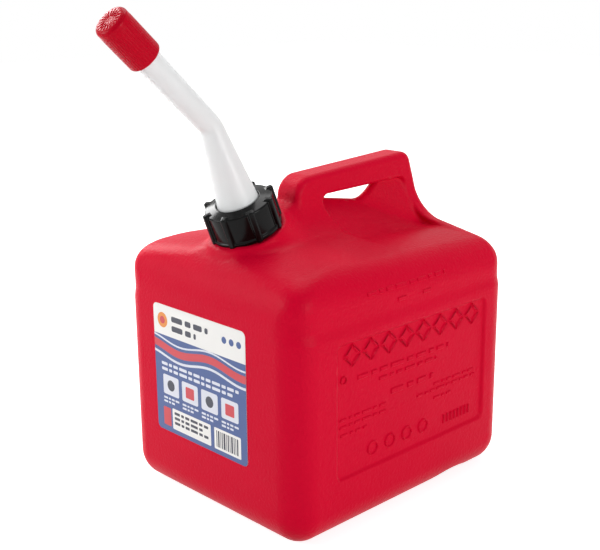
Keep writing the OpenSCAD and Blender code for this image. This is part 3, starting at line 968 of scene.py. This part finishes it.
def front_label():
    """The film and, on it, three layers of ink."""
    half_w = LABEL_W / 2
    half_h = LABEL_H / 2
    film = label_layer("label_film", [rectangle(-half_w, -half_h, half_w, half_h, LABEL_R)], 0, FILM_WHITE)
    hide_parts("front_label")
    band_foot = half_h - LABEL_BAND_H
    field = [(-half_w, -half_h, LABEL_R), (half_w, -half_h, LABEL_R)]
    field += [(half_w, band_foot, 0), (-half_w, band_foot, 0)]
    label_layer("label_blue_field", [eased(field)], 1, FILM_BLUE)

    orange = [disc(-42, 39, 6)]
    label_layer("label_orange_print", orange, 1, FILM_ORANGE)
    dark = dashes(-31, 12, 42, 4.4) + dashes(-31, -2, 34.5, 4.4)
    label_layer("label_dark_print", dark, 1, FILM_DARK)
    label_layer("label_blue_discs", [disc(30 + 8 * k, 40, 2.6) for k in range(3)], 1, FILM_BLUE)

    red = [wave(18, 6), disc(-42, 39, 3)]
    red += [rectangle(-45, -46.5, -36, -31.5, 1)]
    pale = [wave(11, 2), wave(24, 1.4)]
    pale += dashes(-45, 45, 4.2, 2.4) + dashes(-45, 38, -0.2, 2.4)
    tiles = [TILE_LEFT + TILE_PITCH * k for k in range(TILE_COUNT)]
    pale += [rectangle(left, TILE_FOOT, left + TILE_W, TILE_HEAD, 1.6) for left in tiles]
    for left in tiles:
        pale += dashes(left, left + TILE_W, -23.6, 1.6) + dashes(left, left + TILE_W - 4, -26.6, 1.6)
    label_layer("label_red_print", red, 2, FILM_RED)
    label_layer("label_pale_print", pale, 2, FILM_PALE)
    boxes = [rectangle(-34, -47.5, 12, -30.5, 1), rectangle(16, -47.5, 46, -30.5, 1)]
    label_layer("label_white_print", boxes, 2, FILM_WHITE)

    fine = dashes(-31.5, 9, -34, 2.2) + dashes(-31.5, 4, -38, 2.2) + dashes(-31.5, 9, -42, 2.2)
    widths = (0.8, 1.6, 0.6, 1.1, 2, 0.7, 1.3, 0.6, 1.8, 0.9, 0.7, 1.4)
    u = 18.5
    for width in widths:
        fine.append(rectangle(u, -45.5, u + width, -32.5, 0.1))
        u += width + 1
    fine += [disc(left + TILE_W / 2, (TILE_FOOT + TILE_HEAD) / 2, 4.4) for left in tiles[::2]]
    label_layer("label_fine_print", fine, 3, FILM_DARK)
    accents = [rectangle(left + 4.5, -17, left + TILE_W - 4.5, -8, 1) for left in tiles[1::2]]
    label_layer("label_accent_print", accents, 3, FILM_RED)


front_label()


# The spout, its flange and the threads


def along_spout(points):
    """Points about a straight line, carried onto the spout's middle line with its bend."""
    reach = BEND_R * math.tan(BEND_ANGLE / 2)
    x, y, s = points[..., 0], points[..., 1], points[..., 2]
    past = s - (BEND_S - reach)
    arc = np.clip(past / BEND_R, 0, BEND_ANGLE)
    straight = past - arc * BEND_R
    away = BEND_R + y
    bent_y = away * np.cos(arc) - BEND_R - straight * np.sin(arc)
    bent_z = BEND_S - reach + away * np.sin(arc) + straight * np.cos(arc)
    return np.stack([x, bent_y, bent_z], axis=-1)


def spout_skin():
    """The spout as one hollow tube: flange, taper, bend and the tip that the cap screws on."""
    saved = 2 * BEND_R * math.tan(BEND_ANGLE / 2) - BEND_R * BEND_ANGLE
    end = BEND_S + CAP_S - saved
    bore = SPOUT_FOOT_R - SPOUT_WALL
    corners = [
        (bore, FLANGE_FOOT, FLANGE_EDGE_R),
        (FLANGE_R, FLANGE_FOOT, FLANGE_EDGE_R),
        (FLANGE_R, FLANGE_TOP, FLANGE_EDGE_R),
        (SPOUT_FOOT_R, FLANGE_TOP, SPOUT_FOOT_FILLET_R),
        (BEND_TUBE_R, BEND_S, BEND_EASE_R),
        (SPOUT_END_R, end, SPOUT_END_EDGE_R),
        (TIP_R, end, SPOUT_END_EDGE_R),
        (TIP_R, end + TIP_L, TIP_EDGE_R),
        (TIP_R - SPOUT_WALL, end + TIP_L, TIP_EDGE_R),
        (TIP_R - SPOUT_WALL, end, BORE_EASE_R),
        (SPOUT_END_R - SPOUT_WALL, end - BORE_STEP, BORE_EASE_R),
        (BEND_TUBE_R - SPOUT_WALL, BEND_S, BEND_EASE_R),
    ]
    points, quads = turned(divided(eased(corners), SPOUT_STEP), SPOUT_SEGMENTS)
    piece = mesh_piece("spout_skin", along_spout(points).reshape(-1, 3), quads, NECK_PLACE)
    area_shading(piece.data)
    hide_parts("spout")
    return dress(piece, "spout", MILKY)


spout_skin()
neck_thread = thread_piece(
    "neck_thread", NECK_PLACE, NECK_R, NECK_THREAD_R, NECK_THREAD_PITCH, NECK_THREAD_FOOT, NECK_THREAD_TURNS
)
dress(neck_thread, "can", RED_BODY)
tip_thread = thread_piece(
    "tip_thread", TIP_PLACE, TIP_R, TIP_THREAD_R, TIP_THREAD_PITCH, TIP_THREAD_FOOT, TIP_THREAD_TURNS
)
dress(tip_thread, "spout", MILKY)


# The collar


def collar_distance(x, y, z):
    """The screw collar: a bored skirt with foot rim, grip lugs and a sloping top round the hole."""
    radius = np.sqrt(x * x + y * y)
    pitch = 2 * math.pi / LUG_COUNT
    off_lug = np.arctan2(y, x) % pitch - pitch / 2
    aside = np.abs(radius * np.sin(off_lug))
    cone_turn = math.degrees(math.atan2(COLLAR_R - COLLAR_HOLE_R, COLLAR_CONE_H))
    cone = plane(radius, z, (COLLAR_HOLE_R, COLLAR_TOP), cone_turn)
    skirt = rounded_and(radius - COLLAR_R, cone, COLLAR_EDGE_R)
    rim = rounded_and(radius - COLLAR_R - RIM_PROUD, z - COLLAR_FOOT - RIM_H, RIM_EDGE_R)
    lug = rounded_and(radius * np.cos(off_lug) - LUG_R, aside - LUG_W / 2, LUG_EDGE_R)
    lug = rounded_and(np.maximum(lug, LUG_INNER_R - radius), z - LUG_TOP, LUG_TOP_R)
    body = rounded_or(rounded_or(skirt, rim, COLLAR_BLEND_R), lug, COLLAR_BLEND_R)
    body = rounded_and(body, COLLAR_FOOT - z, COLLAR_FOOT_R)
    bore = np.maximum(radius - COLLAR_BORE_R, z - COLLAR_LIP_FOOT)
    return rounded_and(body, -np.minimum(bore, radius - COLLAR_HOLE_R), COLLAR_MOUTH_R)


def collar_skin():
    """The collar's surface, in place of its CAD solid."""
    reach = LUG_R + 3 * COLLAR_STEP
    low = [-reach, -reach, COLLAR_FOOT - 3 * COLLAR_STEP]
    high = [reach, reach, COLLAR_TOP + 3 * COLLAR_STEP]
    piece = skin_piece("collar_skin", collar_distance, low, high, COLLAR_STEP, COLLAR_KEPT, NECK_PLACE)
    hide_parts("collar")
    return dress(piece, "collar", BLACK)


collar_skin()


# The cap


def cap_skin():
    """The outer cap: a hollow shell with fine ribs round its skirt and short rays on its top."""
    corners = [
        (CAP_LIP_R, 0, CAP_LIP_EDGE_R),
        (CAP_SKIRT_R, 0, CAP_FOOT_EDGE_R),
        (CAP_SKIRT_R, CAP_H, CAP_EDGE_R),
        (0, CAP_H, 0),
        (0, CAP_H - CAP_WALL, 0),
        (CAP_SKIRT_R - CAP_WALL, CAP_H - CAP_WALL, CAP_EDGE_R - CAP_WALL),
        (CAP_SKIRT_R - CAP_WALL, CAP_LIP_H, CAP_LIP_EDGE_R),
        (CAP_LIP_R, CAP_LIP_H, CAP_LIP_EDGE_R),
    ]
    segments = CAP_RIBS * CAP_RIB_STEPS
    outline = divided(eased(corners, CAP_ARC_POINTS), CAP_STEP)
    points, quads = turned(outline, segments)
    turn = np.arange(segments) * 2 * math.pi / segments
    radius, height = outline[:, :1], outline[:, 1:]
    outer = radius > CAP_SKIRT_R - CAP_WALL / 2
    ribbed = outer * ramp(*CAP_RIB_START, height) * (1 - ramp(*CAP_RIB_END, height))
    rib = CAP_RIB_DEPTH * ribbed * (0.5 + 0.5 * np.cos(CAP_RIBS * turn))
    points[..., 0] += rib * np.cos(turn)
    points[..., 1] += rib * np.sin(turn)
    top = height > CAP_H - CAP_WALL / 2
    rayed = top * ramp(*CAP_RAY_START, radius) * (1 - ramp(*CAP_RAY_END, radius))
    points[..., 2] += CAP_RAY_H * rayed * (0.5 + 0.5 * np.cos(CAP_RAYS * turn))
    piece = welded(mesh_piece("cap_skin", points.reshape(-1, 3), quads, TIP_PLACE))
    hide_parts("cap_outer")
    return dress(piece, "outer_cap", RED_CAP)


cap_skin()


# The hidden parts keep their CAD form, and get their own finish

HIDDEN = {
    "arrestor_frame": BLACK,
    "arrestor_screen": WIRE,
    "arrestor_end_screen": WIRE,
    "neck_gasket": RUBBER,
    "cap_inner": RED_CAP,
    "cap_liner": FOAM,
}
for node_name, node_finish in HIDDEN.items():
    hidden_mesh = frame["nodes"][node_name].data
    hidden_mesh.materials.clear()
    hidden_mesh.materials.append(node_finish)


# The stage, in metres: a white floor in white surroundings, soft studio light, and the camera

FLOOR_SIZE = 8
FLOOR_LIFT = 0.78
WORLD_LIGHT = 0.3


def seen_share(tree):
    """1 for what is seen, straight, mirrored or through something clear, and 0 for what only lights."""
    path = add(tree, "LightPath").outputs
    seen = add(tree, "Math", {"operation": "MAXIMUM"}, in0=path["Is Camera Ray"], in1=path["Is Glossy Ray"])
    seen = add(tree, "Math", {"operation": "MAXIMUM"}, in0=seen.outputs[0], in1=path["Is Transmission Ray"])
    return seen.outputs[0]


def studio_floor():
    """A white sheet; the camera sees it a little brighter, so that only the shadow shows."""
    finish, tree, shader = finish_of("white_studio_paper")
    out = tree.nodes["Material Output"]
    tree.nodes.remove(shader)
    paper = add(tree, "BsdfDiffuse", Color=(0.8, 0.8, 0.8, 1))
    glow = add(tree, "Emission", Color=(1, 1, 1, 1))
    lift = add(tree, "Math", {"operation": "MULTIPLY"}, in0=seen_share(tree), in1=FLOOR_LIFT)
    tree.links.new(lift.outputs[0], glow.inputs["Strength"])
    both = add(tree, "AddShader", in0=paper.outputs[0], in1=glow.outputs[0])
    tree.links.new(both.outputs[0], out.inputs["Surface"])
    bpy.ops.mesh.primitive_plane_add(size=FLOOR_SIZE, location=(0, 0, 0))
    floor = bpy.context.object
    floor.name = "studio_floor"
    floor.data.materials.append(finish)


def studio_world():
    """White all round for what is seen, and a plain soft light for what is lit."""
    world = bpy.data.worlds.new("studio_world")
    world.use_nodes = True
    bpy.context.scene.world = world
    tree = world.node_tree
    tree.nodes.clear()
    level = add(tree, "MapRange", Value=seen_share(tree), To_Min=WORLD_LIGHT, To_Max=1)
    light = add(tree, "Background", Color=(1, 1, 1, 1), Strength=level.outputs["Result"])
    out = add(tree, "OutputWorld")
    tree.links.new(light.outputs[0], out.inputs["Surface"])


def softbox(name, place, target, size, power):
    """A square lamp that faces a target, in metres and watts."""
    lamp = bpy.data.lights.new(name, "AREA")
    lamp.shape = "SQUARE"
    lamp.size = size
    lamp.energy = power
    holder = bpy.data.objects.new(name, lamp)
    holder.location = place
    holder.rotation_mode = "QUATERNION"
    holder.rotation_quaternion = (Vector(target) - Vector(place)).to_track_quat("-Z", "Y")
    bpy.context.scene.collection.objects.link(holder)


def studio_camera():
    """The photograph's view: a long lens a little above the can, off its front right corner."""
    azimuth = math.radians(46.188)
    elevation = math.radians(15.612)
    roll = math.radians(-0.492)
    flat = math.cos(elevation)
    back = Vector((math.sin(azimuth) * flat, -math.cos(azimuth) * flat, math.sin(elevation)))
    right = Vector((math.cos(azimuth), math.sin(azimuth), 0))
    up = back.cross(right)
    turned_right = right * math.cos(roll) + up * math.sin(roll)
    turned_up = up * math.cos(roll) - right * math.sin(roll)
    lens = bpy.data.cameras.new("studio_camera")
    lens.sensor_width = 36
    lens.lens = 65.28
    camera = bpy.data.objects.new("studio_camera", lens)
    camera.matrix_world = Matrix((turned_right, turned_up, back)).transposed().to_4x4()
    camera.location = (0.5894, -0.5863, 0.3967)
    bpy.context.scene.collection.objects.link(camera)
    bpy.context.scene.camera = camera


studio_floor()
studio_world()
softbox("left_softbox", (-1.5, 0.1, 1.0), (0, 0, 0.15), 0.6, 14)
softbox("front_softbox", (-0.95, -1.4, 0.75), (0, 0, 0.12), 0.8, 17)
softbox("top_softbox", (-0.4, 0.4, 1.45), (0, 0, 0.1), 1.0, 10)
softbox("side_softbox", (1.6, 0.1, 0.4), (0, 0, 0.12), 0.7, 13)
studio_camera()
bpy.context.scene.view_settings.view_transform = "Standard"
